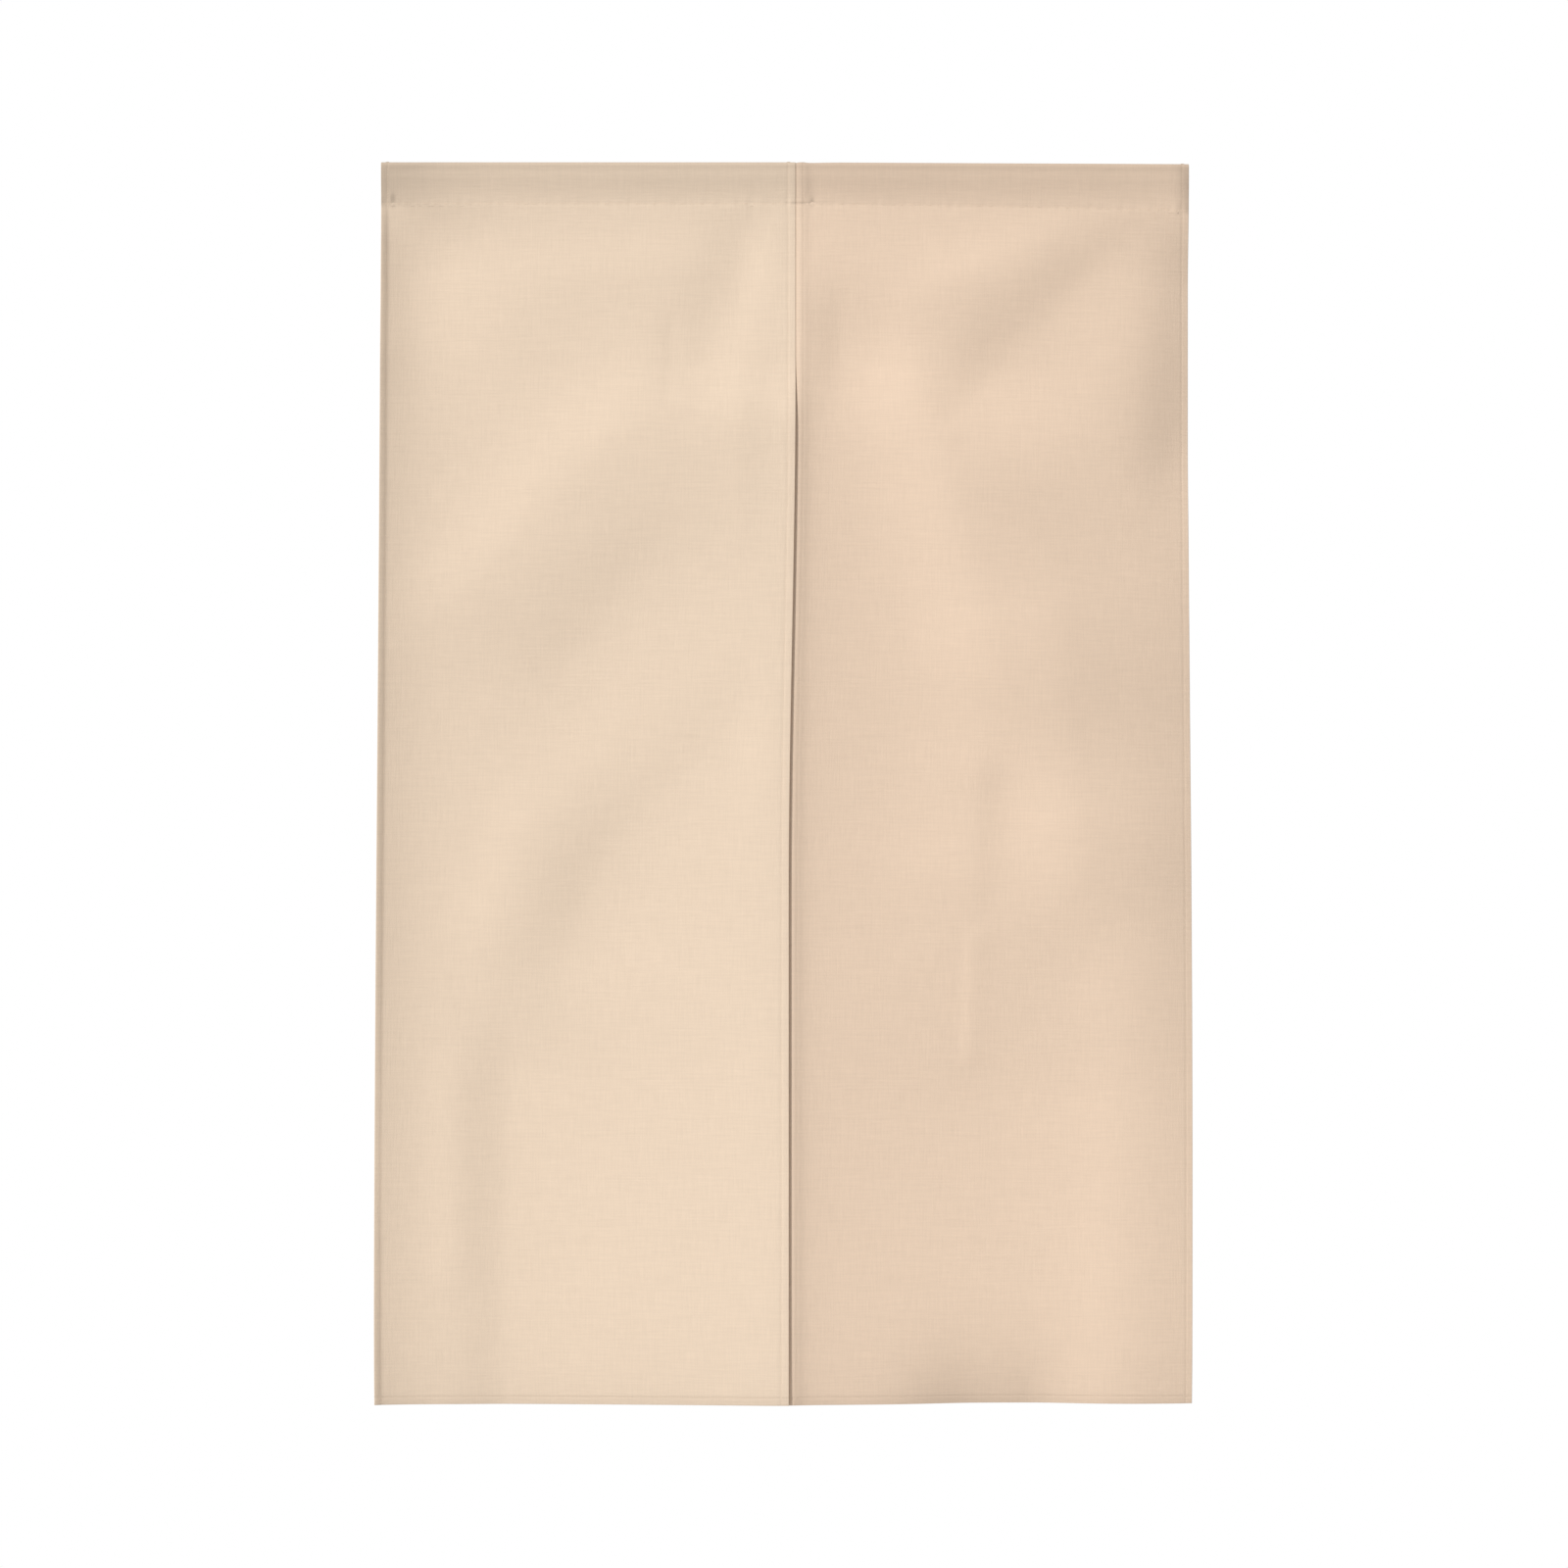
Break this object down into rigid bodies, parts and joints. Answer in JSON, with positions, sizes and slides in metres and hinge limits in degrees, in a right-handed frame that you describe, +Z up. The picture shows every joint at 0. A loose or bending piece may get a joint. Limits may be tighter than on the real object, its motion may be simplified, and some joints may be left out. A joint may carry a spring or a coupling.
{
  "type": "noren curtain",
  "caption": "Noren doorway curtain of plain beige cloth: two lapped panels, joined at the top and slit below, hanging from an open rod sleeve.",
  "frame": {"origin": "middle of the curtain's top edge, at mid depth of the rod sleeve", "axes": "+Z up, +X along the rod to the viewer's right, -Y towards the viewer who faces the front"},
  "size_m": [0.8557, 0.0479, 1.299],
  "materials": {
    "panel_cloth": "matte plain weave, one layer",
    "sleeve_cloth": "matte plain weave, two layers"
  },
  "bodies": {
    "root": {"panel_left": "panel_cloth", "panel_right": "panel_cloth", "sleeve_left": "sleeve_cloth", "sleeve_right": "sleeve_cloth"}
  },
  "joints": []
}
